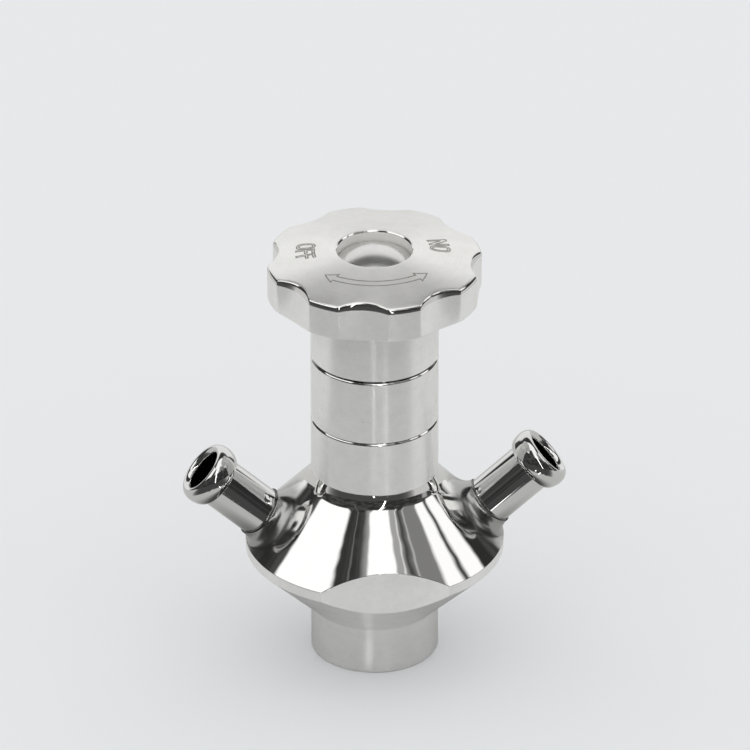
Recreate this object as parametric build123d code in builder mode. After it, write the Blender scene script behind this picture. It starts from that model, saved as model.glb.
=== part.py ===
"""Sanitary diaphragm sampling valve with two angled hose ports and a lobed handwheel.

Millimetres, Z up. The origin is the centre of the weld spigot's lower face. The ports lie in the
XZ plane and the wrench flats face +Y and -Y. The valve is drawn closed.
"""

import math
import os

from build123d import *

os.makedirs("parts", exist_ok=True)

# Fits and gaps
static_fit = 0.03  # radial room between two pieces that don't move against each other
running_fit = 0.05  # radial room of a shaft or journal in its bore
axial_play = 0.1  # room at each side of the drive sleeve's collar
hub_gap = 0.3  # open ring between the bonnet ring and the handwheel's hub
washer_room = 0.3  # radial room of the thrust washers and retaining ring round the stem or sleeve
seam_chamfer = 0.2  # bevel on each edge that meets at a seam of the neck

# Body
spigot_radius = 16.0
spigot_length = 12.6
spigot_rounding = 0.4
under_angle = 44.5  # of the lower cone, from the horizontal
hip_radius = 32.5
hip_land = 2.7
flat_distance = 28.2  # from the axis to each wrench flat
shoulder_angle = 47.2  # of the upper cone, from the horizontal
neck_radius = 16.0
neck_fillet = 6.0
neck_length = 16.9  # from where the upper cone would meet the neck to the neck's top
neck_bore_radius = 12.5

# Flow path
orifice_radius = 4.0
orifice_length = 5.0
orifice_chamfer = 0.5
chamber_radius = 9.5
chamber_top = 37.0
channel_radius = 4.5

# Hose ports, by the centre of the left or right mouth
port_angle = 42.0
port_reach = 43.7
port_height = 52.8
tube_radius = 6.35
tube_bore_radius = 5.15
bead_radius = 8.05
bead_length = 6.1
bead_crest = 2.6  # from the mouth to the bead's largest diameter
lip_radius = 6.4
lip_depth = 1.6
boss_height = 3.0  # above the upper cone, along the port
boss_root_radius = 8.2
boss_tip_wall = 0.45
boss_chamfer = 0.4
socket_depth = 5.0

# Diaphragm and what holds it
flange_thickness = 2.0
clamp_ring_thickness = 2.0
clamp_ring_bore = 6.0
diaphragm_radius = 7.2
diaphragm_wall = 1.7
diaphragm_flare = 3.0
nose_gap = 0.05  # between the nose and its seat, square to the seat
insert_radius = 4.0
insert_length = 9.4
insert_cover = 6.0  # of silicone between the nose's face and the insert
insert_base = 2.0  # solid metal below the insert's thread
insert_groove_depth = 0.8
insert_groove_width = 3.0
insert_thread_radius = 2.5

# Stem
stem_radius = 5.0
stem_thread_radius = 4.0
stem_shoulder_room = 0.7  # between the thick part, when lifted, and the drive sleeve
stem_lift = 3.0
pin_below_thrust = 10.0  # from the thrust pocket's floor down to the pin
pin_radius = 1.5
pin_length = 13.6
pin_slot_room = 1.5  # above and below the pin's travel
bushing_radius = 7.5
bushing_length = 9.0
cap_screw_radius = 2.5
cap_screw_length = 0.95

# Bonnet and what it holds
bonnet_ring_height = 17.4
journal_radius = 12.5
journal_length = 14.4
thrust_pocket_radius = 9.8
thrust_pocket_depth = 12.0
washer_thickness = 1.0
collar_thickness = 4.0
collar_radius = 9.5
retaining_ring_height = 5.0
spanner_hole_radius = 0.8
spanner_hole_depth = 2.0
spanner_hole_count = 4

# O-rings, by the thickness of the cord
bonnet_cord = 1.5
bonnet_cord_below_top = 5.5  # from the neck's top down to the ring
journal_cord = 1.5
journal_cord_above_ring = 4.2
stem_cord = 2.3
cap_cord = 1.4
cap_cord_below_top = 3.0
groove_play = 0.5  # room beside a cord in its groove

# Drive sleeve and hub
sleeve_radius = 6.7
sleeve_thread_radius = 6.0
web_gap = 0.6  # from the journal's end to the web
web_thickness = 3.7
web_lip = 1.2  # inner lip of the web, clamped between sleeve and nut
bushing_wall = 1.25
bushing_setback = 0.6  # of the hub bushing from the hub's lower end
bushing_end_room = 0.2
key_width = 3.0
key_depth_in_sleeve = 0.7
key_depth_in_hub = 1.0
nut_height = 4.2
nut_radius = 8.3
nut_slot_width = 2.0
nut_slot_depth = 1.0
nut_slot_count = 4
sleeve_end_above_nut = 0.8

# Handwheel
wheel_radius = 27.0
hub_radius = 16.0
hub_height = 17.7  # visible skirt below the rim
hub_fillet = 1.0
rim_height = 8.1  # of the rim's wall, up to its bevel
rim_bevel = 1.2
rim_foot_bevel = 0.3
crown_radius = 114.0  # of the sphere that the top belongs to
window_radius = 9.35
window_chamfer = 0.45
lobe_count = 8
scallop_width_angle = 26.7
scallop_depth_top = 2.5
scallop_depth_foot = 0.9
scallop_bevel_lift = 0.25  # of the scallops' bevel over the lobes' bevel, as the crown is higher there
scallop_overcut = 1.2  # width of the scallops' cutter, by the width of a scallop
scallop_cutter_reach = 8.0  # of the cutter outside the wheel
wheel_phase = -11.5  # of the first scallop, from -Y towards +X

# Indicator cap
cap_side_gap = 0.2
cap_thickness = 1.9
cap_skirt_wall = 0.65
cap_skirt_length = 7.0
cap_below_rim = 3.0
cap_edge_chamfer = 0.25

# Heights that follow
hip_bottom = spigot_length + (hip_radius - spigot_radius) * math.tan(math.radians(under_angle))
hip_top = hip_bottom + hip_land
cone_top = hip_top + (hip_radius - neck_radius) * math.tan(math.radians(shoulder_angle))
neck_top = cone_top + neck_length
seat_top = orifice_length + chamber_radius - orifice_radius
insert_floor = orifice_length + insert_cover
flange_top = chamber_top + flange_thickness
bonnet_bottom = flange_top + clamp_ring_thickness
ring_top = neck_top + bonnet_ring_height
journal_top = ring_top + journal_length
thrust_floor = journal_top - thrust_pocket_depth
pin_height = thrust_floor - pin_below_thrust
collar_bottom = thrust_floor + washer_thickness + axial_play
collar_top = collar_bottom + collar_thickness
stem_shoulder = collar_bottom - stem_shoulder_room - stem_lift
upper_washer_bottom = collar_top + axial_play
retainer_bottom = upper_washer_bottom + washer_thickness
hub_bottom = ring_top + hub_gap
rim_bottom = hub_bottom + hub_height
rim_top = rim_bottom + rim_height
window_edge = window_radius + window_chamfer
crown_edge = wheel_radius - rim_bevel
crown_rise = math.sqrt(crown_radius**2 - window_edge**2) - math.sqrt(crown_radius**2 - crown_edge**2)
crown_top = rim_top + rim_bevel + crown_rise
web_bottom = journal_top + web_gap
web_top = web_bottom + web_thickness
lip_bottom = web_top - web_lip
nut_top = web_top + nut_height
sleeve_top = nut_top + sleeve_end_above_nut
cap_top = crown_top - cap_below_rim
cap_underside = cap_top - cap_thickness


def turned(points, mode=Mode.ADD):
    """Turns a closed outline of (radius, height) points about Z in the part being built."""
    with BuildSketch(Plane.XZ) as outline:
        with BuildLine():
            Polyline(*points, close=True)
        make_face()
    revolve(outline.sketch, axis=Axis.Z, mode=mode)


def tube_between(inner, outer, bottom, top, mode=Mode.ADD):
    """A plain turned ring or, with an inner radius of 0, a turned disc."""
    turned([(inner, bottom), (outer, bottom), (outer, top), (inner, top)], mode)


def cord_ring(cord, inner, height):
    """An O-ring round a shaft or groove of the inner radius, slimmer than its cord by its two fits."""
    half = cord / 2 - running_fit
    with BuildSketch(Plane.XZ) as section:
        with Locations((inner + running_fit + half, height)):
            Circle(half)
    revolve(section.sketch, axis=Axis.Z)


def groove(cord, inner, outer, height):
    """Cuts the groove of an O-ring whose centre is at the height."""
    half = (cord + groove_play) / 2
    tube_between(inner, outer, height - half, height + half, Mode.SUBTRACT)


# Port geometry. Along the port, 0 is the mouth and negative values lead into the body.
port_slope = math.tan(math.radians(port_angle))
shoulder_slope = math.tan(math.radians(shoulder_angle))
port_cone_reach = (cone_top + neck_radius * shoulder_slope - port_height + port_reach * port_slope) / (
    shoulder_slope + port_slope
)
port_cone_depth = (port_reach - port_cone_reach) / math.cos(math.radians(port_angle))
boss_top = boss_height - port_cone_depth
socket_floor = boss_top - socket_depth
channel_end = -(port_reach - orifice_radius) / math.cos(math.radians(port_angle))
boss_foot = -port_cone_depth - boss_height


def port_axis(side):
    """The port's centre line, from the mouth outwards. The side is -1 on the left, 1 on the right."""
    direction = (side * math.cos(math.radians(port_angle)), 0, math.sin(math.radians(port_angle)))
    return Axis((side * port_reach, 0, port_height), direction)


def port_plane(side):
    """A plane through the port's axis. Its x is the radius and its y leads out of the mouth."""
    axis = port_axis(side)
    across = Vector(0, side, 0)
    return Plane(origin=axis.position, x_dir=axis.direction.cross(across), z_dir=across)


def port_cut(side, radius, start, end):
    """Cuts a round hole along the port's axis."""
    with BuildSketch(port_plane(side)) as outline:
        with BuildLine():
            Polyline((0, start), (radius, start), (radius, end), (0, end), close=True)
        make_face()
    revolve(outline.sketch, axis=port_axis(side), mode=Mode.SUBTRACT)


def port_boss(side):
    """Adds the flared boss that carries the hose tube."""
    tip = tube_radius + boss_tip_wall
    flare_top = boss_top - boss_chamfer
    surface = -port_cone_depth
    with BuildSketch(port_plane(side)) as outline:
        with BuildLine():
            Polyline(
                (tip, flare_top),
                (tip - boss_chamfer, boss_top),
                (0, boss_top),
                (0, boss_foot),
                (boss_root_radius, boss_foot),
                (boss_root_radius, surface),
            )
            EllipticalCenterArc(
                (boss_root_radius, flare_top),
                boss_root_radius - tip,
                flare_top - surface,
                180,
            )
        make_face()
    revolve(outline.sketch, axis=port_axis(side))


def port_tube(side):
    """Adds a hose tube with its rolled bead and rounded lip."""
    with BuildSketch(port_plane(side)) as outline:
        with BuildLine():
            Polyline(
                (tube_bore_radius, -lip_depth),
                (tube_bore_radius, socket_floor),
                (tube_radius, socket_floor),
                (tube_radius, -bead_length),
            )
            EllipticalCenterArc(
                (tube_radius, -bead_crest), bead_radius - tube_radius, bead_length - bead_crest, 270
            )
            EllipticalCenterArc((lip_radius, -bead_crest), bead_radius - lip_radius, bead_crest)
            EllipticalCenterArc((lip_radius, -lip_depth), lip_radius - tube_bore_radius, lip_depth, 90)
        make_face()
    revolve(outline.sketch, axis=port_axis(side))


# Valve body
with BuildPart() as valve_body:
    with BuildSketch(Plane.XZ) as body_outline:
        with BuildLine():
            Polyline(
                (0, 0),
                (spigot_radius, 0),
                (spigot_radius, spigot_length),
                (hip_radius, hip_bottom),
                (hip_radius, hip_top),
                (neck_radius, cone_top),
                (neck_radius, neck_top),
                (0, neck_top),
                close=True,
            )
        make_face()
        fillet(body_outline.vertices().group_by(Axis.Y)[-2], radius=neck_fillet)
    revolve(axis=Axis.Z)
    for side in (-1, 1):
        port_boss(side)
        with BuildSketch(Plane.XZ.offset(side * flat_distance)):
            with Locations((0, hip_top)):
                Rectangle(2 * hip_radius, 2 * hip_radius)
        extrude(amount=side * hip_radius, mode=Mode.SUBTRACT)
    chamfer(valve_body.edges().filter_by(GeomType.CIRCLE).sort_by(Axis.Z)[-1], length=seam_chamfer)
    fillet(valve_body.edges().filter_by(GeomType.CIRCLE).sort_by(Axis.Z)[0], radius=spigot_rounding)
    turned(
        [
            (0, 0),
            (orifice_radius + orifice_chamfer, 0),
            (orifice_radius, orifice_chamfer),
            (orifice_radius, orifice_length),
            (chamber_radius, seat_top),
            (chamber_radius, chamber_top),
            (neck_bore_radius, chamber_top),
            (neck_bore_radius, neck_top),
            (0, neck_top),
        ],
        Mode.SUBTRACT,
    )
    for side in (-1, 1):
        port_cut(side, channel_radius, channel_end, boss_top)
        port_cut(side, tube_radius + static_fit, socket_floor, boss_top)
valve_body.part.label = "valve_body"
export_step(valve_body.part, "parts/valve_body.step")

# Hose tubes
with BuildPart() as sample_port_tube:
    port_tube(-1)
sample_port_tube.part.label = "sample_port_tube"
export_step(sample_port_tube.part, "parts/sample_port_tube.step")

with BuildPart() as steam_port_tube:
    port_tube(1)
steam_port_tube.part.label = "steam_port_tube"
export_step(steam_port_tube.part, "parts/steam_port_tube.step")

# Diaphragm: nose on the 45 degree seat, thin wall, flange clamped on the chamber's shoulder
nose_offset = nose_gap * math.sqrt(2)
insert_top = insert_floor + insert_length
hollow_radius = diaphragm_radius - diaphragm_wall
insert_groove_bottom = insert_floor + (insert_length - insert_groove_width) / 2
insert_waist = insert_radius - insert_groove_depth
stem_foot = insert_floor + insert_base

with BuildPart() as diaphragm:
    turned(
        [
            (0, orifice_length),
            (orifice_radius - nose_offset, orifice_length),
            (diaphragm_radius, orifice_length + diaphragm_radius - orifice_radius + nose_offset),
            (diaphragm_radius, chamber_top - diaphragm_flare),
            (chamber_radius - static_fit, chamber_top - static_fit),
            (chamber_radius - static_fit, chamber_top),
            (neck_bore_radius - static_fit, chamber_top),
            (neck_bore_radius - static_fit, flange_top),
            (hollow_radius, flange_top),
            (hollow_radius, insert_top),
            (0, insert_top),
        ]
    )
    tube_between(0, insert_waist + static_fit, insert_floor, insert_top, Mode.SUBTRACT)
    for bottom, top in (
        (insert_floor, insert_groove_bottom),
        (insert_groove_bottom + insert_groove_width, insert_top),
    ):
        tube_between(0, insert_radius + static_fit, bottom, top, Mode.SUBTRACT)
diaphragm.part.label = "diaphragm"
export_step(diaphragm.part, "parts/diaphragm.step")

with BuildPart() as diaphragm_insert:
    tube_between(0, insert_radius, insert_floor + static_fit, insert_top)
    tube_between(
        insert_waist,
        insert_radius,
        insert_groove_bottom - static_fit,
        insert_groove_bottom + insert_groove_width + static_fit,
        Mode.SUBTRACT,
    )
    tube_between(0, insert_thread_radius + static_fit, stem_foot, insert_top, Mode.SUBTRACT)
diaphragm_insert.part.label = "diaphragm_insert"
export_step(diaphragm_insert.part, "parts/diaphragm_insert.step")

with BuildPart() as diaphragm_clamp_ring:
    tube_between(clamp_ring_bore, neck_bore_radius - static_fit, flange_top, bonnet_bottom)
diaphragm_clamp_ring.part.label = "diaphragm_clamp_ring"
export_step(diaphragm_clamp_ring.part, "parts/diaphragm_clamp_ring.step")

# Bonnet: shank in the neck, visible ring, journal for the hub, pocket for the thrust bearing
bushing_top = bonnet_bottom + bushing_length
stem_cord_height = bushing_top + (stem_cord + groove_play) / 2
stem_pocket_top = bushing_top + stem_cord + groove_play
bonnet_cord_height = neck_top - bonnet_cord_below_top
journal_cord_height = ring_top + journal_cord_above_ring
pin_slot_bottom = pin_height - pin_radius - pin_slot_room
pin_slot_top = pin_height + pin_radius + stem_lift + pin_slot_room

with BuildPart() as bonnet:
    turned(
        [
            (0, bonnet_bottom),
            (neck_bore_radius - static_fit, bonnet_bottom),
            (neck_bore_radius - static_fit, neck_top),
            (neck_radius - seam_chamfer, neck_top),
            (neck_radius, neck_top + seam_chamfer),
            (neck_radius, ring_top - seam_chamfer),
            (neck_radius - seam_chamfer, ring_top),
            (journal_radius, ring_top),
            (journal_radius, journal_top),
            (0, journal_top),
        ]
    )
    tube_between(0, bushing_radius, bonnet_bottom, stem_pocket_top, Mode.SUBTRACT)
    tube_between(0, stem_radius + running_fit, stem_pocket_top, thrust_floor, Mode.SUBTRACT)
    tube_between(0, thrust_pocket_radius, thrust_floor, journal_top, Mode.SUBTRACT)
    groove(bonnet_cord, neck_bore_radius - bonnet_cord, neck_radius, bonnet_cord_height)
    groove(journal_cord, journal_radius - journal_cord, neck_radius, journal_cord_height)
    with BuildSketch(Plane.XY.offset(bonnet_bottom)):
        Rectangle(pin_length + pin_slot_room, 2 * (pin_radius + running_fit))
    extrude(amount=pin_slot_top - bonnet_bottom, mode=Mode.SUBTRACT)
bonnet.part.label = "bonnet"
export_step(bonnet.part, "parts/bonnet.step")

with BuildPart() as bonnet_seal_ring:
    cord_ring(bonnet_cord, neck_bore_radius - bonnet_cord, bonnet_cord_height)
bonnet_seal_ring.part.label = "bonnet_seal_ring"
export_step(bonnet_seal_ring.part, "parts/bonnet_seal_ring.step")

with BuildPart() as journal_seal_ring:
    cord_ring(journal_cord, journal_radius - journal_cord, journal_cord_height)
journal_seal_ring.part.label = "journal_seal_ring"
export_step(journal_seal_ring.part, "parts/journal_seal_ring.step")

with BuildPart() as stem_bushing:
    tube_between(stem_radius + running_fit, bushing_radius - static_fit, bonnet_bottom, bushing_top)
stem_bushing.part.label = "stem_bushing"
export_step(stem_bushing.part, "parts/stem_bushing.step")

with BuildPart() as stem_seal_ring:
    cord_ring(stem_cord, stem_radius, stem_cord_height)
stem_seal_ring.part.label = "stem_seal_ring"
export_step(stem_seal_ring.part, "parts/stem_seal_ring.step")

# Thrust bearing of the drive sleeve
with BuildPart() as lower_thrust_washer:
    tube_between(
        stem_radius + washer_room,
        thrust_pocket_radius - running_fit,
        thrust_floor,
        thrust_floor + washer_thickness,
    )
lower_thrust_washer.part.label = "lower_thrust_washer"
export_step(lower_thrust_washer.part, "parts/lower_thrust_washer.step")

with BuildPart() as upper_thrust_washer:
    tube_between(
        sleeve_radius + washer_room,
        thrust_pocket_radius - running_fit,
        upper_washer_bottom,
        retainer_bottom,
    )
upper_thrust_washer.part.label = "upper_thrust_washer"
export_step(upper_thrust_washer.part, "parts/upper_thrust_washer.step")

with BuildPart() as retaining_ring:
    retainer_top = retainer_bottom + retaining_ring_height
    retainer_bore = sleeve_radius + washer_room
    retainer_radius = thrust_pocket_radius - static_fit
    tube_between(retainer_bore, retainer_radius, retainer_bottom, retainer_top)
    with BuildSketch(Plane.XY.offset(retainer_top)):
        with PolarLocations((retainer_bore + retainer_radius) / 2, spanner_hole_count):
            Circle(spanner_hole_radius)
    extrude(amount=-spanner_hole_depth, mode=Mode.SUBTRACT)
retaining_ring.part.label = "retaining_ring"
export_step(retaining_ring.part, "parts/retaining_ring.step")

# Stem: thick guided part, threaded part through the drive sleeve, ends for insert and cap
with BuildPart() as stem:
    stem_end = cap_underside + cap_screw_length
    turned(
        [
            (0, stem_foot),
            (insert_thread_radius, stem_foot),
            (insert_thread_radius, insert_top),
            (stem_radius, insert_top),
            (stem_radius, stem_shoulder),
            (stem_thread_radius, stem_shoulder),
            (stem_thread_radius, cap_underside),
            (cap_screw_radius, cap_underside),
            (cap_screw_radius, stem_end),
            (0, stem_end),
        ]
    )
    with BuildSketch(Plane.YZ.offset(-stem_radius)):
        with Locations((0, pin_height)):
            Circle(pin_radius)
    extrude(amount=2 * stem_radius, mode=Mode.SUBTRACT)
stem.part.label = "stem"
export_step(stem.part, "parts/stem.step")

with BuildPart() as guide_pin:
    with BuildSketch(Plane.YZ.offset(-pin_length / 2)):
        with Locations((0, pin_height)):
            Circle(pin_radius - static_fit)
    extrude(amount=pin_length)
guide_pin.part.label = "guide_pin"
export_step(guide_pin.part, "parts/guide_pin.step")

# Drive sleeve and what clamps the handwheel to it
with BuildPart() as drive_sleeve:
    turned(
        [
            (stem_thread_radius + running_fit, collar_bottom),
            (collar_radius, collar_bottom),
            (collar_radius, collar_top),
            (sleeve_radius, collar_top),
            (sleeve_radius, lip_bottom),
            (sleeve_thread_radius, lip_bottom),
            (sleeve_thread_radius, sleeve_top),
            (stem_thread_radius + running_fit, sleeve_top),
        ]
    )
    key_floor = sleeve_radius - key_depth_in_sleeve
    key_height = lip_bottom - web_bottom
    with BuildSketch(Plane.XY.offset(web_bottom)):
        with Locations((key_floor + key_depth_in_sleeve, 0)):
            Rectangle(2 * key_depth_in_sleeve, key_width + 2 * static_fit)
    extrude(amount=key_height, mode=Mode.SUBTRACT)
drive_sleeve.part.label = "drive_sleeve"
export_step(drive_sleeve.part, "parts/drive_sleeve.step")

with BuildPart() as hub_key:
    key_depth = key_depth_in_sleeve + key_depth_in_hub
    with BuildSketch(Plane.XY.offset(web_bottom)):
        with Locations((key_floor + key_depth / 2, 0)):
            Rectangle(key_depth, key_width)
    extrude(amount=key_height)
hub_key.part.label = "hub_key"
export_step(hub_key.part, "parts/hub_key.step")

with BuildPart() as lock_nut:
    tube_between(sleeve_thread_radius + static_fit, nut_radius, web_top, nut_top)
    with BuildSketch(Plane.XY.offset(web_top)):
        with PolarLocations(nut_radius, nut_slot_count):
            Rectangle(2 * nut_slot_depth, nut_slot_width)
    extrude(amount=nut_height, mode=Mode.SUBTRACT)
lock_nut.part.label = "lock_nut"
export_step(lock_nut.part, "parts/lock_nut.step")

hub_bore_radius = journal_radius + running_fit + bushing_wall
with BuildPart() as hub_bushing:
    tube_between(
        journal_radius + running_fit,
        hub_bore_radius - static_fit,
        hub_bottom + bushing_setback,
        web_bottom - bushing_end_room,
    )
hub_bushing.part.label = "hub_bushing"
export_step(hub_bushing.part, "parts/hub_bushing.step")

# Handwheel: crowned disc with eight scallops that fade towards the rim's foot
cap_radius = window_radius - cap_side_gap
cap_cord_height = cap_top - cap_cord_below_top


def scallop_arc(depth):
    """Centre and radius of the arc, along X, that cuts the rim to the depth between two corners."""
    inner = wheel_radius - depth
    half = math.radians(scallop_width_angle / 2)
    centre = (wheel_radius**2 - inner**2) / (2 * wheel_radius * math.cos(half) - 2 * inner)
    return centre, centre - inner


def scallop_section(depth, height):
    """The cross-section of one scallop's cutter at the height."""
    centre, radius = scallop_arc(depth)
    reach = scallop_overcut * wheel_radius * math.sin(math.radians(scallop_width_angle / 2))
    corner = centre - math.sqrt(radius**2 - reach**2)
    outside = wheel_radius + scallop_cutter_reach
    with BuildSketch(Plane.XY.offset(height)) as section:
        with BuildLine():
            ThreePointArc((corner, -reach), (centre - radius, 0), (corner, reach))
            Polyline((corner, reach), (outside, reach), (outside, -reach), (corner, -reach))
        make_face()
    return section.sketch


with BuildPart() as scallop_cutter:
    top_section = scallop_section(scallop_depth_top, rim_top)
    loft([scallop_section(scallop_depth_foot, rim_bottom), top_section])
    extrude(top_section, amount=crown_top - rim_top)
    arc_centre, arc_radius = scallop_arc(scallop_depth_top)
    bevel_foot = rim_top + scallop_bevel_lift
    bevel_height = crown_top - bevel_foot
    with Locations((arc_centre, 0, bevel_foot)):
        Cone(
            arc_radius,
            arc_radius + bevel_height,
            bevel_height,
            align=(Align.CENTER, Align.CENTER, Align.MIN),
        )

with BuildPart() as handwheel:
    with BuildSketch(Plane.XZ) as wheel_outline:
        with BuildLine():
            RadiusArc((crown_edge, rim_top + rim_bevel), (window_edge, crown_top), -crown_radius)
            Polyline(
                (window_edge, crown_top),
                (window_radius, crown_top - window_chamfer),
                (window_radius, web_top),
                (sleeve_thread_radius + static_fit, web_top),
                (sleeve_thread_radius + static_fit, lip_bottom),
                (sleeve_radius + static_fit, lip_bottom),
                (sleeve_radius + static_fit, web_bottom),
                (hub_bore_radius, web_bottom),
                (hub_bore_radius, hub_bottom),
                (hub_radius - seam_chamfer, hub_bottom),
                (hub_radius, hub_bottom + seam_chamfer),
                (hub_radius, rim_bottom),
                (wheel_radius, rim_bottom),
                (wheel_radius, rim_top),
                (crown_edge, rim_top + rim_bevel),
            )
        make_face()
        hub_corner = wheel_outline.vertices().sort_by_distance((hub_radius, rim_bottom))[0]
        fillet(hub_corner, radius=hub_fillet)
    revolve(axis=Axis.Z)
    with PolarLocations(0, lobe_count, start_angle=wheel_phase - 90):
        add(scallop_cutter.part, mode=Mode.SUBTRACT)
    rim_foot = handwheel.faces().filter_by(GeomType.PLANE).sort_by_distance((wheel_radius, 0, rim_bottom))[0]
    chamfer(rim_foot.outer_wire().edges(), length=rim_foot_bevel)
    groove(cap_cord, 0, window_radius + cap_cord - cap_side_gap, cap_cord_height)
    with BuildSketch(Plane.XY.offset(web_bottom)):
        with Locations((key_floor + key_depth / 2, 0)):
            Rectangle(key_depth + 2 * static_fit, key_width + 2 * static_fit)
    extrude(amount=key_height, mode=Mode.SUBTRACT)
handwheel.part.label = "handwheel"
export_step(handwheel.part, "parts/handwheel.step")

# Indicator cap: the stem's end in the handwheel's window, with a skirt over the lock nut
with BuildPart() as indicator_cap:
    turned(
        [
            (0, cap_underside),
            (cap_radius - cap_skirt_wall, cap_underside),
            (cap_radius - cap_skirt_wall, cap_top - cap_skirt_length),
            (cap_radius, cap_top - cap_skirt_length),
            (cap_radius, cap_top - cap_edge_chamfer),
            (cap_radius - cap_edge_chamfer, cap_top),
            (0, cap_top),
        ]
    )
    tube_between(0, cap_screw_radius + static_fit, cap_underside, stem_end + static_fit, Mode.SUBTRACT)
indicator_cap.part.label = "indicator_cap"
export_step(indicator_cap.part, "parts/indicator_cap.step")

with BuildPart() as cap_seal_ring:
    cord_ring(cap_cord, cap_radius, cap_cord_height)
cap_seal_ring.part.label = "cap_seal_ring"
export_step(cap_seal_ring.part, "parts/cap_seal_ring.step")
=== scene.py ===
import math

import bmesh
import bpy
import numpy as np
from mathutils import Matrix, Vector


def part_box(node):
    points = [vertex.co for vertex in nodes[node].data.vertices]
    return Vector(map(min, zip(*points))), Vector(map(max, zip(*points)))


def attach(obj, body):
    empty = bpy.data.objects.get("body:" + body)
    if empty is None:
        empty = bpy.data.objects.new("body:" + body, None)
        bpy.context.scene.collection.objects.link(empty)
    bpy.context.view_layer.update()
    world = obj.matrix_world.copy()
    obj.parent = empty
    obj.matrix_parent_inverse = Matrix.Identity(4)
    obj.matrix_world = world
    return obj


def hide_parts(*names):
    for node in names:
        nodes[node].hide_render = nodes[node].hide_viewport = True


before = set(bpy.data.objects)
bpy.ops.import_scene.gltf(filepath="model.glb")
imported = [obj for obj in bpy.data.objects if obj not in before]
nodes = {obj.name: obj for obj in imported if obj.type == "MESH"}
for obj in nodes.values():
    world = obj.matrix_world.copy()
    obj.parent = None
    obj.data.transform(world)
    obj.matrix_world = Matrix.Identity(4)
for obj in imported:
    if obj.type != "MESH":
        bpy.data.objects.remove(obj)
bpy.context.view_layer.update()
print("frame loaded:", len(nodes), "nodes")

mm = 0.001


# A socket of a node tree: sums and products on it add Math nodes
class Wire:
    def __init__(self, tree, socket=None):
        self.tree = tree
        self.socket = socket

    def node(self, kind, settings, sockets, output=0):
        made = self.tree.nodes.new(kind)
        for name, value in settings.items():
            setattr(made, name, value)
        for name, value in sockets.items():
            self.connect(made.inputs[name], value)
        return Wire(self.tree, made.outputs[output])

    def connect(self, target, value):
        if isinstance(value, Wire):
            self.tree.links.new(value.socket, target)
        else:
            target.default_value = value

    def math(self, operation, *values):
        return self.node("ShaderNodeMath", {"operation": operation}, dict(enumerate(values)))

    def __add__(self, other):
        return self.math("ADD", self, other)

    def __radd__(self, other):
        return self.math("ADD", other, self)

    def __sub__(self, other):
        return self.math("SUBTRACT", self, other)

    def __rsub__(self, other):
        return self.math("SUBTRACT", other, self)

    def __mul__(self, other):
        return self.math("MULTIPLY", self, other)

    def __rmul__(self, other):
        return self.math("MULTIPLY", other, self)

    def __truediv__(self, other):
        return self.math("DIVIDE", self, other)

    def __rtruediv__(self, other):
        return self.math("DIVIDE", other, self)

    def __pow__(self, other):
        return self.math("POWER", self, other)

    def __abs__(self):
        return self.math("ABSOLUTE", self)

    def larger(self, other):
        return self.math("MAXIMUM", self, other)

    # 0 below low, 1 above high, smooth between
    def step(self, low, high):
        return self.node(
            "ShaderNodeMapRange",
            {"interpolation_type": "SMOOTHSTEP"},
            {"Value": self, "From Min": low, "From Max": high},
        )

    def parts(self):
        split = self.tree.nodes.new("ShaderNodeSeparateXYZ")
        self.tree.links.new(self.socket, split.inputs[0])
        return [Wire(self.tree, out) for out in split.outputs]

    def dot(self, direction):
        settings = {"operation": "DOT_PRODUCT"}
        return self.node("ShaderNodeVectorMath", settings, {0: self, 1: direction}, "Value")


def joined(x, y, z):
    return x.node("ShaderNodeCombineXYZ", {}, {"X": x, "Y": y, "Z": z})


def blendColour(factor, first, second):
    tree = factor.tree
    made = tree.nodes.new("ShaderNodeMix")
    made.data_type = "RGBA"
    factor.connect(made.inputs[0], factor)
    factor.connect(made.inputs[6], first)
    factor.connect(made.inputs[7], second)
    return Wire(tree, made.outputs[2])


def noise(place, scale, detail=2.0, roughness=0.5):
    return place.node(
        "ShaderNodeTexNoise", {}, {"Vector": place, "Scale": scale, "Detail": detail, "Roughness": roughness}
    )


# A fresh material with its own Principled shader and the piece's Object coordinates
def startFinish(name):
    material = bpy.data.materials.new(name)
    material.use_nodes = True
    tree = material.node_tree
    shader = tree.nodes["Principled BSDF"]
    place = Wire(tree, tree.nodes.new("ShaderNodeTexCoord").outputs["Object"])
    return material, shader, place


def setSockets(wire, shader, values):
    for name, value in values.items():
        wire.connect(shader.inputs[name], value)


# Camera, fitted to the spigot, rings, hip and rim in the photograph
view = {
    "turn": 5.5,
    "elevation": 29.6,
    "distance": 3.0,
    "lens": 576.0,
    "sensor": 36.0,
    "aimHeight": 76.8 * mm,
    "aimPixel": (374.6, 376.7),
    "imageSize": 750,
}


def makeCamera(s):
    turn, lift = math.radians(s["turn"]), math.radians(s["elevation"])
    data = bpy.data.cameras.new("camera")
    data.lens = s["lens"]
    data.sensor_width = s["sensor"]
    data.shift_x = (s["imageSize"] / 2 - s["aimPixel"][0]) / s["imageSize"]
    data.shift_y = (s["aimPixel"][1] - s["imageSize"] / 2) / s["imageSize"]
    data.clip_end = 50
    camera = bpy.data.objects.new("camera", data)
    back = np.array([-math.sin(turn) * math.cos(lift), -math.cos(turn) * math.cos(lift), math.sin(lift)])
    camera.location = np.array([0, 0, s["aimHeight"]]) + back * s["distance"]
    camera.rotation_euler = (math.pi / 2 - lift, 0, -turn)
    bpy.context.scene.collection.objects.link(camera)
    bpy.context.scene.camera = camera


makeCamera(view)
bpy.context.scene.view_settings.view_transform = "Standard"
print("camera set")


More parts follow.
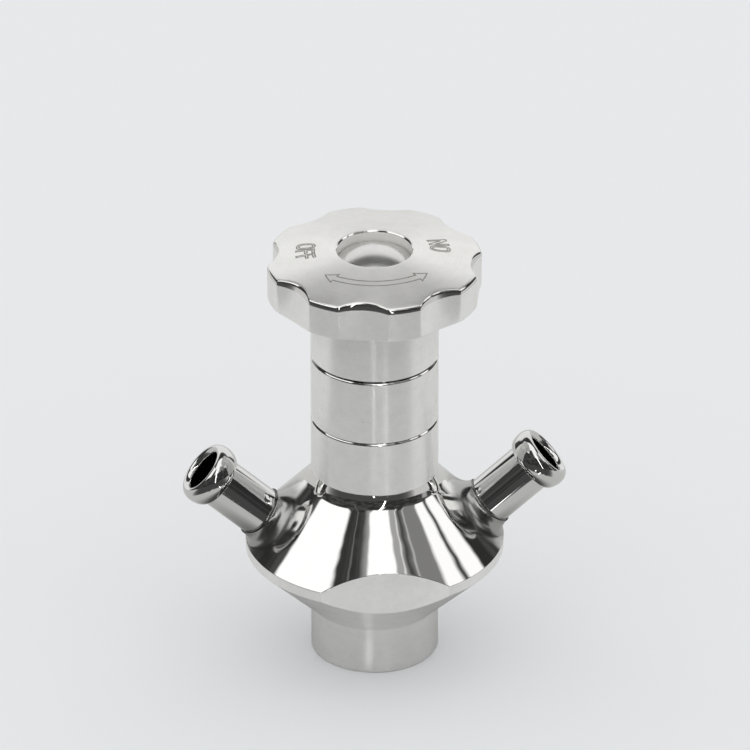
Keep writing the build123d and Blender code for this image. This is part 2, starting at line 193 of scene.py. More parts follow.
# Studio: a plain world for diffuse light, and soft boxes with dark gaps for what polished metal mirrors.
# Directions are given as (turn from the camera's side, height above the horizon) in degrees.
studio = {
    "background": (0.86, 0.875, 0.89, 1),
    "diffuse": 0.95,
    "dark": (0.03, 0.075),
    "patchScale": 5.0,
    "boxes": [
        {"at": (-82, 47), "half": (22, 13), "edge": 4, "level": 1.25, "tilt": 30},
        {"at": (-8, 58), "half": (5, 14), "edge": 9, "level": 0.4},
        {"at": (86, 43), "half": (7, 12), "edge": 5, "level": 1.2, "tilt": -25},
        {"at": (106, 33), "half": (8, 14), "edge": 5, "level": 1.2, "tilt": -25},
        {"at": (9, 60), "half": (11, 17), "edge": 4, "level": 1.25, "tilt": 4},
        {"at": (12, 38), "half": (2.5, 10), "edge": 3, "level": 1.2, "tilt": 20},
        {"at": (15, 20), "half": (0.9, 34), "edge": 1, "level": 7.0, "tilt": 9},
        {"at": (33, 55), "half": (6, 12), "edge": 6, "level": 0.42},
        {"at": (39, 53), "half": (0.9, 13), "edge": 1.2, "level": 0.8},
        {"at": (53, 50), "half": (1.1, 13), "edge": 2, "level": 0.5},
        {"at": (67, 48), "half": (12, 14), "edge": 8, "level": 0.24},
        {"at": (90, 8), "half": (5, 9), "edge": 6, "level": 0.4},
        {"at": (-33, 40), "half": (0.7, 22), "edge": 1, "level": 0.16},
        {"at": (180, 18), "half": (44, 27), "edge": 9, "level": 0.95},
        {"at": (0, 90), "half": (26, 18), "edge": 4, "level": 1.2},
    ],
}


def directionOf(s, turn, lift):
    a = math.radians(s["turn"])
    toCamera = np.array([-math.sin(a), -math.cos(a), 0])
    toRight = np.array([math.cos(a), -math.sin(a), 0])
    t, e = math.radians(turn), math.radians(lift)
    flat = toCamera * math.cos(t) + toRight * math.sin(t)
    return flat * math.cos(e) + np.array([0, 0, math.sin(e)])


# 1 inside a rectangle seen in a direction, by the tangents of the two angles from its middle
def boxMask(ray, s, box):
    turn, lift = box["at"]
    middle = directionOf(s, turn, lift)
    sideways = directionOf(s, turn + 90, 0)
    upwards = np.cross(sideways, middle)
    upwards = upwards if upwards[2] > 0 else -upwards
    lean = math.radians(box.get("tilt", 0))
    sideways, upwards = (sideways * math.cos(lean) + upwards * math.sin(lean),
                         upwards * math.cos(lean) - sideways * math.sin(lean))
    ahead = ray.dot(middle)
    mask = ahead.step(0.0, 0.05)
    for axis, half in zip((sideways, upwards), box["half"]):
        off = abs(ray.dot(axis) / ahead.larger(0.05))
        inner, outer = (math.tan(math.radians(half + d * box["edge"] / 2)) for d in (-1, 1))
        mask = mask * (1 - off.step(inner, outer))
    return mask


def makeWorld(s, cameraSide):
    world = bpy.data.worlds.new("studio")
    bpy.context.scene.world = world
    world.use_nodes = True
    tree = world.node_tree
    ray = Wire(tree, tree.nodes.new("ShaderNodeTexCoord").outputs["Generated"])
    paths = tree.nodes.new("ShaderNodeLightPath")
    isCamera = Wire(tree, paths.outputs["Is Camera Ray"])
    isGlossy = Wire(tree, paths.outputs["Is Glossy Ray"])
    level = None
    for box in s["boxes"]:
        glow = boxMask(ray, cameraSide, box) * box["level"]
        level = glow if level is None else level.larger(glow)
    low, high = s["dark"]
    patches = noise(ray, s["patchScale"], 2.0, 0.5).step(0.4, 0.65) * (high - low) + low
    level = level.larger(patches)
    grey = joined(level, level, level)
    plain = (s["diffuse"],) * 3 + (1,)
    colour = blendColour(isGlossy, plain, grey)
    colour = blendColour(isCamera, colour, s["background"])
    isCamera.connect(tree.nodes["Background"].inputs["Color"], colour)


makeWorld(studio, view)

# What metal mirrors of the floor: pale, painted shade close to the valve, a shade sector in front, and three
# narrow cards that glow as painted highlights. A sector lies about a turn from the camera's side, between two
# distances in metres.
floorLook = {
    "reachEdge": 0.012,
    "radius": 6.0,
    "colour": (0.84, 0.855, 0.87, 1),
    "mirrored": (0.66, 0.66, 0.65, 1),
    # Painted shade: what metal mirrors of the floor turns dark close to the valve
    "nearShadeColour": (0.1, 0.1, 0.1, 1),
    "nearShadeReach": (0.035, 0.065),
    "shadeColour": (0.075, 0.075, 0.075, 1),
    "shade": {"turn": -8, "half": 64, "edge": 32, "reach": (0.093, 9.0), "level": 1.0},
    # Painted highlights: narrow cards on the floor that glow only in what metal mirrors
    "highlightCards": [
        {"turn": -7, "half": 4, "edge": 7, "reach": (0.017, 0.036), "level": 1.9},
        {"turn": 21, "half": 1.3, "edge": 1.5, "reach": (0.08, 0.125), "level": 4.0},
        {"turn": -1, "half": 0.9, "edge": 0.8, "reach": (0.125, 0.165), "level": 11.0},
    ],
}


def sectorMask(place, distance, s):
    middle, across = directionOf(view, s["turn"], 0), directionOf(view, s["turn"] + 90, 0)
    ahead = place.dot(middle)
    off = abs(place.dot(across) / ahead.larger(0.001))
    inner, outer = (math.tan(math.radians(s["half"] + d * s["edge"] / 2)) for d in (-1, 1))
    near, far = s["reach"]
    edge = floorLook["reachEdge"]
    reach = distance.step(near, near + edge) * (1 - distance.step(far - edge, far))
    return ahead.step(0.0, 0.01) * (1 - off.step(inner, outer)) * reach * s["level"]


def makeFloor(s):
    ring = np.linspace(0, 2 * np.pi, 129)[:-1]
    points = np.stack([s["radius"] * np.cos(ring), s["radius"] * np.sin(ring), 0 * ring], 1)
    mesh = bpy.data.meshes.new("floor")
    mesh.from_pydata(points.tolist(), [], [list(range(len(ring)))])
    floor = bpy.data.objects.new("floor", mesh)
    bpy.context.scene.collection.objects.link(floor)
    material, shader, place = startFinish("floorPaper")
    paths = place.tree.nodes.new("ShaderNodeLightPath")
    isGlossy = Wire(place.tree, paths.outputs["Is Glossy Ray"])
    x, y, z = place.parts()
    distance = (x * x + y * y) ** 0.5
    glow = distance * 0
    # The cards glow only for glossy rays: painted highlights on the metal
    for card in s["highlightCards"]:
        glow = glow.larger(sectorMask(place, distance, card))
    glow = glow * isGlossy
    # Painted shade close to the valve, seen only in reflections
    mirrored = blendColour(distance.step(*s["nearShadeReach"]), s["nearShadeColour"], s["mirrored"])
    mirrored = blendColour(sectorMask(place, distance, s["shade"]), mirrored, s["shadeColour"])
    shader.inputs["Emission Strength"].default_value = 1.0
    setSockets(place, shader, {
        "Base Color": blendColour(isGlossy, s["colour"], mirrored), "Roughness": 0.9,
        "Specular IOR Level": 0.0, "Emission Color": joined(glow, glow, glow)})
    mesh.materials.append(material)


makeFloor(floorLook)
print("studio built")


# Rows of points along an outline whose corners are arcs. corners is (corners, columns, 2) in (radius,
# height), rounding and the two lists of steps have one number for each corner. No rounding gives one row.
# A run has rows close to both its ends, so that smooth shading keeps the run itself straight.
def roundedRows(corners, rounding, arcSteps, runSteps, closed=True, lead=0.12):
    towards = [np.roll(corners, shift, 0) - corners for shift in (1, -1)]
    before, after = (d / np.linalg.norm(d, axis=2, keepdims=True) for d in towards)
    half = np.arccos(np.clip((before * after).sum(2), -1, 1)) / 2
    size = np.array(rounding, float)[:, None]
    cut = (size / np.tan(half))[..., None]
    middle = before + after
    middle = middle / np.maximum(np.linalg.norm(middle, axis=2, keepdims=True), 1e-9)
    centre = corners + middle * (size / np.sin(half))[..., None]
    first, last = corners + before * cut, corners + after * cut
    rows = []
    for i in range(len(corners)):
        if rounding[i] > 0:
            swing = (np.pi - 2 * half[i])[:, None]
            for f in np.linspace(0, 1, arcSteps[i] + 1):
                start, end = first[i] - centre[i], last[i] - centre[i]
                spoke = start * np.sin((1 - f) * swing) + end * np.sin(f * swing)
                rows.append(centre[i] + spoke / np.sin(swing))
        else:
            rows.append(corners[i])
        if i + 1 == len(corners) and not closed:
            break
        run = first[(i + 1) % len(corners)] - last[i]
        margin = np.minimum(lead / np.linalg.norm(run, axis=1, keepdims=True), 0.3)
        for f in np.linspace(0, 1, runSteps[i]) if runSteps[i] > 1 else [0.5] * runSteps[i]:
            rows.append(last[i] + run * (margin + (1 - 2 * margin) * f))
    return np.array(rows)


# A list of (radius, height, rounding, arc steps, run steps), where a number may also be one for each column
def outlineRows(corners, columns, closed=True):
    plan = np.array([[np.broadcast_to(c[k], columns) for k in (0, 1)] for c in corners], float)
    rounding, arcSteps, runSteps = ([c[k] for c in corners] for k in (2, 3, 4))
    return roundedRows(plan.transpose(0, 2, 1), rounding, arcSteps, runSteps, closed)


# Rows carried round Z: x and y are the radius by the cosine and sine of the column's turn
def turnedRound(rows, turns):
    return np.stack([rows[..., 0] * np.cos(turns), rows[..., 0] * np.sin(turns), rows[..., 1]], 2)


# Four point numbers for each cell of a grid that is closed across its columns, and along its rows if asked
def gridFaces(numbers, closedRows):
    below = numbers if closedRows else numbers[:-1]
    above = np.roll(numbers, -1, 0) if closedRows else numbers[1:]
    return np.stack([below, np.roll(below, -1, 1), np.roll(above, -1, 1), above], 2)


# Mesh from points in mm and faces; points that meet are merged and the faces turned outwards
def makePiece(name, points, faces, body, replaced=(), material=None):
    a, b, c, d = (points[faces[:, k]] for k in range(4))
    volume = (np.cross(a, b) * c + np.cross(a, c) * d).sum()
    faces = faces if volume > 0 else faces[:, ::-1]
    mesh = bpy.data.meshes.new(name)
    mesh.vertices.add(len(points))
    mesh.vertices.foreach_set("co", (points * mm).ravel())
    mesh.loops.add(faces.size)
    mesh.loops.foreach_set("vertex_index", faces.ravel())
    mesh.polygons.add(len(faces))
    mesh.polygons.foreach_set("loop_start", np.arange(len(faces)) * 4)
    mesh.update(calc_edges=True)
    shape = bmesh.new()
    shape.from_mesh(mesh)
    bmesh.ops.remove_doubles(shape, verts=shape.verts, dist=2e-7)
    bmesh.ops.delete(shape, geom=[v for v in shape.verts if not v.link_faces], context="VERTS")
    shape.to_mesh(mesh)
    shape.free()
    mesh.validate()
    mesh.polygons.foreach_set("use_smooth", np.ones(len(mesh.polygons), bool))
    mesh.update()
    piece = bpy.data.objects.new(name, mesh)
    bpy.context.scene.collection.objects.link(piece)
    if material:
        mesh.materials.append(material)
    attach(piece, body)
    if replaced:
        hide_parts(*replaced)
    print("made", name, len(mesh.vertices), "points")
    return piece


# The smaller one of two arrays, rounded over a width where they cross
def softer(a, b, width):
    near = np.maximum(width - np.abs(a - b), 0) / width
    return np.minimum(a, b) - near**3 * width / 6


# Valve body: measures in mm
bodyForm = {
    "spigot": (16.0, 12.6),
    "hip": 32.5,
    "hipHeights": (28.8146, 31.5146),
    "underSlope": math.tan(math.radians(44.5)),
    "shoulderSlope": math.tan(math.radians(47.2)),
    "flat": 28.2,
    "neck": (16.0, 66.23),
    "neckFillet": 6.0,
    "neckBore": 12.5,
    "seam": (0.32, 0.4),
    "chamber": (9.5, 37.0),
    "orifice": (4.0, 5.0),
    "columnsPerQuarter": (86, 42),
    "coneRows": 26,
    "portWindow": 27.0,
    "port": {"mouth": (43.7, 52.8), "angle": 42.0, "top": -19.7, "tip": 6.8, "socket": 6.38, "floor": -24.7,
             "channel": 4.5, "end": -41.0, "rootNear": 8.04, "rootFar": 12.4, "rootRise": 0.6, "blend": 3.2,
             "coneDepth": -22.7, "taper": 2.2, "lip": (0.06, 0.03), "rings": 8, "blendRings": 12},
}


# Turns of the columns from -90 degrees on, closest where the hip meets the flats
def bodyColumns(s):
    corner = 90 - math.degrees(math.acos(s["flat"] / s["hip"]))
    wide, narrow = s["columnsPerQuarter"]
    quarter = np.concatenate([np.linspace(0, corner - 0.3, wide), [corner - 0.1, corner, corner + 0.1],
                              np.linspace(corner + 0.3, 90, narrow)])
    turns = np.concatenate([-quarter[::-1], quarter[1:], 180 - quarter[::-1][1:], 180 + quarter[1:-1]])
    return np.radians(turns)


# Along the port's axis, how far a point beside it lies from the upper cone: the root of the cone's quadratic
# that is nearer to where the axis itself meets the cone
def depthToCone(s, across, up):
    port = s["port"]
    a = math.radians(port["angle"])
    x0 = port["mouth"][0] - up * math.sin(a)
    z0 = port["mouth"][1] + up * math.cos(a)
    fall = 1 / s["shoulderSlope"]
    top = s["hip"] + (s["hipHeights"][1] - z0) * fall
    dx, dz = math.cos(a), math.sin(a)
    square = dx * dx - (fall * dz) ** 2
    linear = x0 * dx + top * fall * dz
    rest = x0**2 + across**2 - top**2
    first, second = ((-linear + sign * np.sqrt(linear**2 - square * rest)) / square for sign in (-1, 1))
    expected = port["coneDepth"]
    return np.where(np.abs(first - expected) < np.abs(second - expected), first, second)


def portPoints(s, across, up, along):
    port = s["port"]
    a = math.radians(port["angle"])
    x = port["mouth"][0] - up * math.sin(a) + along * math.cos(a)
    z = port["mouth"][1] + up * math.cos(a) + along * math.sin(a)
    return np.stack([x, across + 0 * x, z], -1)


# Boss: rings that go from a window in the cone's grid to the root, up an elliptical blend, over the tip and
# down the socket and the channel. The rings outside the root lie on the cone itself.
def bossRings(s, edge):
    port = s["port"]
    a = math.radians(port["angle"])
    across = edge[:, 1]
    outwards, upwards = edge[:, 0] - port["mouth"][0], edge[:, 2] - port["mouth"][1]
    up = -outwards * math.sin(a) + upwards * math.cos(a)
    around = np.arctan2(up, across)
    rise = (1 + np.sin(around)) / 2
    root = port["rootNear"] + (port["rootFar"] - port["rootNear"]) * rise ** port["rootRise"]
    rings = []
    for f in np.linspace(0, 1, port["rings"] + 1)[1:]:
        u = (1 - f) * across + f * root * np.cos(around)
        v = (1 - f) * up + f * root * np.sin(around)
        rings.append(portPoints(s, u, v, depthToCone(s, u, v)))
    for f in np.linspace(0, 1, port["blendRings"] + 1)[1:]:
        reach = port["tip"] + (root - port["tip"]) * (1 - math.sin(f * math.pi / 2))
        lift = port["blend"] * (1 - math.cos(f * math.pi / 2))
        u, v = reach * np.cos(around), reach * np.sin(around)
        rings.append(portPoints(s, u, v, depthToCone(s, u, v) + lift))
    lipAcross, lipDown = port["lip"]
    inside = outlineRows([
        (port["tip"], port["top"] - port["taper"], 0, 0, 3),
        (port["socket"] + lipAcross, port["top"], 0.03, 2, 0),
        (port["socket"], port["top"] - lipDown, 0.01, 2, 1),
        (port["socket"], port["floor"], 0.1, 2, 1),
        (port["channel"], port["floor"], 0.1, 2, 1),
        (port["channel"], port["end"], 0.1, 2, 0),
        (0, port["end"], 0, 0, 0),
    ], len(around), closed=False)
    for row in inside:
        rings.append(portPoints(s, row[:, 0] * np.cos(around), row[:, 0] * np.sin(around), row[:, 1]))
    return np.array(rings)


# The lathe outline turned round Z with the two wrench flats, and a boss set into each port's window
def makeBody(s, material):
    turns = bodyColumns(s)
    count = len(turns)
    hip = np.minimum(s["hip"], s["flat"] / np.maximum(np.abs(np.sin(turns)), 1e-6))
    low = s["hipHeights"][0] - (s["hip"] - hip) * s["underSlope"]
    high = s["hipHeights"][1] + (s["hip"] - hip) * s["shoulderSlope"]
    apex = s["hipHeights"][1] + (s["hip"] - s["neck"][0]) * s["shoulderSlope"]
    bore, (chamber, chamberTop), (hole, holeTop) = s["neckBore"], s["chamber"], s["orifice"]
    corners = [
        (hole + 0.5, 0, 0.08, 2, 3),
        (s["spigot"][0], 0, 0.4, 5, 3),
        (s["spigot"][0], s["spigot"][1], 0.4, 4, 5),
        (hip, low, 0.3, 5, 3),
        (hip, high, 0.15, 4, s["coneRows"]),
        (s["neck"][0], apex, s["neckFillet"], 18, 4),
        (s["neck"][0], s["neck"][1] - s["seam"][1], 0.06, 2, 1),
        (s["neck"][0] - s["seam"][0], s["neck"][1], 0.06, 2, 1),
        (bore, s["neck"][1], 0.15, 2, 2),
        (bore, chamberTop, 0.1, 2, 1),
        (chamber, chamberTop, 0.2, 2, 2),
        (chamber, holeTop + chamber - hole, 0.2, 2, 2),
        (hole, holeTop, 0.2, 2, 1),
        (hole, 0.5, 0.08, 2, 0),
    ]
    rows = outlineRows(corners, count)
    points = turnedRound(rows, turns)
    firstCone = sum(c[3] + 1 + c[4] for c in corners[:4]) + corners[4][3] + 1
    numbers = np.arange(rows.shape[0] * count).reshape(rows.shape[0], count)
    cells = gridFaces(numbers, True)
    keep = np.ones(cells.shape[:2], bool)
    points, extra = [points.reshape(-1, 3)], []
    total = numbers.size
    top, bottom = firstCone + s["coneRows"] - 2, firstCone
    for side, middle in ((1, 0.0), (-1, math.pi)):
        inside = np.nonzero(np.abs(turns - middle) <= math.radians(s["portWindow"]))[0]
        left, right = inside[0], inside[-1]
        keep[bottom:top, left:right] = False
        loop = np.concatenate([
            numbers[bottom, left:right], numbers[bottom:top, right],
            numbers[top, left + 1:right + 1][::-1], numbers[bottom + 1:top + 1, left][::-1]])
        edge = points[0][loop] * (side, side, 1)
        rings = bossRings(s, edge) * (side, side, 1)
        fresh = total + np.arange(rings.shape[0] * len(loop)).reshape(-1, len(loop))
        total += fresh.size
        points.append(rings.reshape(-1, 3))
        extra.append(gridFaces(np.concatenate([loop[None], fresh]), False).reshape(-1, 4))
    faces = np.concatenate([cells[keep]] + extra)
    points = np.concatenate(points)
    return makePiece("bodyShell", points, faces, "body", ["valve_body"], material)


# Bonnet: measures in mm. Its ring is the middle one of the neck's rings.
bonnetForm = {
    "spigot": 12.47,
    "ring": (16.0, 66.23, 83.63),
    "seam": (0.32, 0.4),
    "journal": (12.5, 98.03),
    "grooveRadius": 11.0,
    "grooves": ((59.73, 61.73), (86.83, 88.83)),
    "pocket": (9.8, 86.03),
    "bores": (5.05, 7.5),
    "bushingRoom": 11.8,
    "slot": (7.55, 1.55, 82.03),
    "columns": 240,
}


# The cross pin's slot widens the bore to a rectangle: its edge is the nearer one of two pairs of lines
def makeBonnet(s, material):
    turns = np.linspace(0, 2 * np.pi, s["columns"] + 1)[:-1]
    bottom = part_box("bonnet")[0][2] / mm
    length, width, slotTop = s["slot"]
    ends = length / np.maximum(np.abs(np.cos(turns)), 1e-6)
    sides = width / np.maximum(np.abs(np.sin(turns)), 1e-6)
    slot = np.minimum(ends, sides)
    narrow, wide = s["bores"]
    upper = np.maximum(narrow + 1e-4, slot)
    lower = np.maximum(wide, slot + 1e-4)
    ring, foot, top = s["ring"]
    (across, up), spigot, (journal, journalTop) = s["seam"], s["spigot"], s["journal"]
    (a, b), (c, d) = s["grooves"]
    inner = s["grooveRadius"]
    pocket, pocketFloor = s["pocket"]
    corners = [
        (spigot, bottom, 0.1, 2, 1),
        (spigot, a, 0.05, 1, 0),
        (inner, a, 0.05, 1, 0),
        (inner, b, 0.05, 1, 0),
        (spigot, b, 0.05, 1, 1),
        (spigot, foot, 0.05, 1, 1),
        (ring - across, foot, 0.06, 2, 1),
        (ring, foot + up, 0.06, 2, 5),
        (ring, top - up, 0.06, 2, 1),
        (ring - across, top, 0.06, 2, 1),
        (journal, top, 0.05, 1, 1),
        (journal, c, 0.05, 1, 0),
        (inner, c, 0.05, 1, 0),
        (inner, d, 0.05, 1, 0),
        (journal, d, 0.05, 1, 1),
        (journal, journalTop, 0.1, 2, 1),
        (pocket, journalTop, 0.1, 2, 1),
        (pocket, pocketFloor, 0.05, 1, 1),
        (narrow, pocketFloor, 0, 0, 0),
        (narrow, slotTop, 0, 0, 0),
        (upper, slotTop, 0, 0, 0),
        (upper, bottom + s["bushingRoom"], 0, 0, 0),
        (lower, bottom + s["bushingRoom"], 0, 0, 0),
        (lower, bottom, 0, 0, 0),
    ]
    rows = outlineRows(corners, len(turns))
    points = turnedRound(rows, turns).reshape(-1, 3)
    faces = gridFaces(np.arange(len(points)).reshape(rows.shape[:2]), True).reshape(-1, 4)
    return makePiece("bonnetShell", points, faces, "body", ["bonnet"], material)


# Handwheel: measures in mm
wheelForm = {
    "radius": 27.0,
    "rim": (101.63, 109.73),
    "crownTop": 113.4687,
    "crownRadius": 114.0,
    "edgeRounding": 1.25,
    "footRounding": 0.35,
    "hub": (16.0, 83.93, 13.8),
    "seam": (0.32, 0.4),
    "web": (98.63, 102.33, 101.13),
    "webBores": (6.73, 6.03),
    "window": (9.35, 9.8, 0.45),
    "groove": (106.52, 108.42, 10.55),
    "lobes": 8,
    "phase": -11.5,
    "scallopAngle": 26.7,
    "scallopDepths": (0.9, 2.5),
    "cornerSoftness": 0.8,
    "cornerHalf": 1.8,
    "crownSteps": (0.12, 0.3, 0.5, 0.7, 0.86),
    "columnsPerHalf": (18, 14, 8),
}


def crownHeight(s, radius):
    square = s["crownRadius"] ** 2
    return s["crownTop"] + np.sqrt(square - radius**2) - math.sqrt(square - s["window"][1] ** 2)


def wheelColumns(s):
    corner, pitch, near = s["scallopAngle"] / 2, 180 / s["lobes"], s["cornerHalf"]
    a, b, c = s["columnsPerHalf"]
    low, high = corner - near, corner + near
    half = np.concatenate([np.linspace(0, low, a), np.linspace(low, high, b)[1:], np.linspace(high, pitch, c)[1:]])
    sector = np.concatenate([-half[::-1], half[1:-1]])
    starts = np.arange(s["lobes"]) * 2 * pitch + s["phase"] - 90
    return np.tile(sector, s["lobes"]), np.radians((starts[:, None] + sector).ravel())


# Radius of the rim at an angle from a scallop's middle: the smaller one of the lobes' circle and the
# scallop's arc, whose centre lies outside the wheel, softened where they cross
def rimRadius(s, away, depth):
    whole, inner = s["radius"], s["radius"] - depth
    half = math.radians(s["scallopAngle"] / 2)
    centre = (whole**2 - inner**2) / (2 * whole * math.cos(half) - 2 * inner)
    turn = np.radians(away)
    reach = np.sqrt(np.maximum((centre - inner) ** 2 - (centre * np.sin(turn)) ** 2, 0))
    return softer(np.full_like(turn, whole), centre * np.cos(turn) - reach, s["cornerSoftness"])


def makeWheel(s, material):
    away, turns = wheelColumns(s)
    foot, top = (rimRadius(s, away, depth) for depth in s["scallopDepths"])
    lowRim, highRim = s["rim"]
    edge = foot + (top - foot) * (crownHeight(s, top) - lowRim) / (highRim - lowRim)
    boreWide, boreNarrow = s["webBores"]
    hub, hubFoot, hubBore = s["hub"]
    webFoot, webTop, lip = s["web"]
    window, windowEdge, chamfer = s["window"]
    grooveLow, grooveHigh, grooveRadius = s["groove"]
    crown = [windowEdge + (edge - windowEdge) * f for f in s["crownSteps"]]
    corners = [(windowEdge, s["crownTop"], 0.1, 3, 1)]
    corners += [(r, crownHeight(s, r), 0, 0, 1) for r in crown]
    corners += [
        (edge, crownHeight(s, edge), s["edgeRounding"], 12, 4),
        (foot, lowRim, s["footRounding"], 4, 3),
        (hub, lowRim, 1.0, 5, 3),
        (hub, hubFoot + s["seam"][1], 0.06, 2, 1),
        (hub - s["seam"][0], hubFoot, 0.06, 2, 1),
        (hubBore, hubFoot, 0.1, 2, 2),
        (hubBore, webFoot, 0.1, 1, 2),
        (boreWide, webFoot, 0.1, 1, 0),
        (boreWide, lip, 0.05, 1, 0),
        (boreNarrow, lip, 0.05, 1, 0),
        (boreNarrow, webTop, 0.1, 1, 1),
        (window, webTop, 0.1, 1, 1),
        (window, grooveLow, 0.05, 1, 0),
        (grooveRadius, grooveLow, 0.05, 1, 0),
        (grooveRadius, grooveHigh, 0.05, 1, 0),
        (window, grooveHigh, 0.05, 1, 2),
        (window, s["crownTop"] - chamfer, 0.1, 3, 0),
    ]
    rows = outlineRows(corners, len(turns))
    points = turnedRound(rows, turns).reshape(-1, 3)
    faces = gridFaces(np.arange(len(points)).reshape(rows.shape[:2]), True).reshape(-1, 4)
    return makePiece("wheelShell", points, faces, "wheel", ["handwheel"], material)


# Cap in the wheel's window: a shallow dome with a skirt, measures in mm
capForm = {
    "radius": 9.15,
    "edge": 110.4687,
    "dome": 17.5,
    "domeRows": (8.7, 13),
    "under": 108.5687,
    "skirt": (8.5, 103.4687),
    "screw": (2.53, 109.55),
    "columns": 180,
}


def makeCap(s, material):
    turns = np.linspace(0, 2 * np.pi, s["columns"] + 1)[:-1]
    square = s["dome"] ** 2
    centre = s["edge"] - math.sqrt(square - s["radius"] ** 2)
    dome = [(r, centre + math.sqrt(square - r * r), 0, 0, 1) for r in np.linspace(0, *s["domeRows"])]
    skirt, foot = s["skirt"]
    corners = dome + [
        (s["radius"], s["edge"], 0.15, 4, 2),
        (s["radius"], foot, 0.1, 2, 0),
        (skirt, foot, 0.1, 2, 1),
        (skirt, s["under"], 0.1, 2, 1),
        (s["screw"][0], s["under"], 0.05, 1, 0),
        (s["screw"][0], s["screw"][1], 0.05, 1, 0),
        (0, s["screw"][1], 0, 0, 0),
    ]
    rows = outlineRows(corners, len(turns), closed=False)
    points = turnedRound(rows, turns).reshape(-1, 3)
    faces = gridFaces(np.arange(len(points)).reshape(rows.shape[:2]), False).reshape(-1, 4)
    return makePiece("domedCap", points, faces, "stem", ["indicator_cap"], material)


# Laser marks on the crown: outlines of letters and of a double-headed arrow, in mm and degrees from -Y
markForm = {
    "line": 0.36,
    "sink": 0.02,
    "proud": 0.012,
    "stroke": 0.55,
    "widths": {"O": 2.75, "F": 2.2, "N": 2.75},
    "oval": 0.75,
    "middleBar": 0.48,
    "words": [
        {"letters": "OFF", "turn": -95.8, "radius": 17.3, "height": 4.6, "gap": 0.35},
        {"letters": "ON", "turn": 94.5, "radius": 16.4, "height": 4.9, "gap": 0.5},
    ],
    "arrow": {"turn": -3.6, "radius": 16.5, "swell": 0.6, "tip": 47.5, "barb": 37.5, "shaft": 0.88,
              "head": 1.8, "line": 0.33},
}


# Closed outlines of a letter in a box of the given height, and its width
def letterOutlines(s, letter, height):
    w, h, k = s["widths"][letter], height, s["stroke"]
    if letter == "O":
        t = np.linspace(0, 2 * np.pi, 41)[:-1]
        bend = lambda v: np.sign(v) * np.abs(v) ** s["oval"]
        oval = np.stack([bend(np.cos(t)), bend(np.sin(t))], 1) / 2
        return [oval * (w - d, h - d) + (w / 2, h / 2) for d in (0, 2 * k)], w
    if letter == "F":
        m = h * s["middleBar"]
        outline = [(0, 0), (k, 0), (k, m), (w * 0.85, m), (w * 0.85, m + k), (k, m + k),
                   (k, h - k), (w, h - k), (w, h), (0, h)]
    else:
        outline = [(0, 0), (k, 0), (k, h - 3 * k), (w - k, 0), (w, 0),
                   (w, h), (w - k, h), (w - k, 3 * k), (k, h), (0, h)]
    return [np.array(outline, float)], w


# Points every 0.3 mm or so along a closed outline, its corners among them
def divided(outline, step=0.3):
    ends = np.roll(outline, -1, 0)
    parts = np.maximum(np.ceil(np.linalg.norm(ends - outline, axis=1) / step).astype(int), 1)
    start = np.repeat(np.arange(len(outline)), parts)
    f = (np.arange(len(start)) - np.repeat(np.cumsum(parts) - parts, parts)) / parts[start]
    return outline[start] * (1 - f[:, None]) + ends[start] * f[:, None]


# An outline in (angle from -Y in radians, radius) becomes a closed ribbon of square section on the crown
def markRibbon(s, wheel, turn, radius, line):
    path = np.stack([radius * np.sin(turn), -radius * np.cos(turn)], 1)
    ahead = np.roll(path, -1, 0) - path
    ahead /= np.linalg.norm(ahead, axis=1, keepdims=True)
    behind = np.roll(ahead, 1, 0)
    normal = np.stack([-(ahead + behind)[:, 1], (ahead + behind)[:, 0]], 1)
    normal /= np.linalg.norm(normal, axis=1, keepdims=True)
    miter = np.clip((normal * np.stack([-ahead[:, 1], ahead[:, 0]], 1)).sum(1), 0.45, 1)[:, None]
    section = []
    for side, lift in ((-1, -s["sink"]), (1, -s["sink"]), (1, s["proud"]), (-1, s["proud"])):
        flat = path + normal * side * line / 2 / miter
        height = crownHeight(wheel, np.hypot(flat[:, 0], flat[:, 1])) + lift
        section.append(np.column_stack([flat, height]))
    return np.array(section)


def makeMarks(s, wheel, material):
    outlines = []
    for word in s["words"]:
        shapes = [letterOutlines(s, letter, word["height"]) for letter in word["letters"]]
        length = sum(w for o, w in shapes) + word["gap"] * (len(shapes) - 1)
        start = -length / 2
        for shape, width in shapes:
            for outline in shape:
                along, up = divided(outline).T
                turn = math.radians(word["turn"]) + (start + along) / word["radius"]
                outlines.append((turn, word["radius"] + word["height"] / 2 - up, s["line"]))
            start += width + word["gap"]
    a = s["arrow"]
    sweep = np.linspace(-a["barb"], a["barb"], 61)
    mid = lambda t: a["radius"] + a["swell"] * (t / a["tip"]) ** 2
    tip, barb = a["tip"], a["barb"]
    head = [(barb, mid(barb) + a["head"]), (tip, mid(tip)), (barb, mid(barb) - a["head"])]
    outline = [(t, mid(t) + a["shaft"]) for t in sweep] + head
    outline += [(t, mid(t) - a["shaft"]) for t in sweep[::-1]] + [(-t, r) for t, r in head[::-1]]
    turn, radius = np.array(outline).T
    turn, radius = divided(np.stack([np.radians(turn) * a["radius"], radius], 1)).T
    outlines.append((turn / a["radius"] + math.radians(a["turn"]), radius, a["line"]))
    points, faces, total = [], [], 0
    for turn, radius, line in outlines:
        ribbon = markRibbon(s, wheel, turn, radius, line)
        numbers = total + np.arange(ribbon.shape[0] * ribbon.shape[1]).reshape(ribbon.shape[:2])
        faces.append(outward(ribbon.reshape(-1, 3), gridFaces(numbers, True).reshape(-1, 4), total))
        points.append(ribbon.reshape(-1, 3))
        total += numbers.size
    points, faces = np.concatenate(points), np.concatenate(faces)
    return makePiece("wheelMarks", points, faces, "wheel", (), material)


# Faces of one closed part of a piece, turned outwards by the sign of its volume
def outward(points, faces, first):
    a, b, c, d = (points[faces[:, k] - first] - points.mean(0) for k in range(4))
    volume = (np.cross(a, b) * c + np.cross(a, c) * d).sum()
    return faces if volume > 0 else faces[:, ::-1]


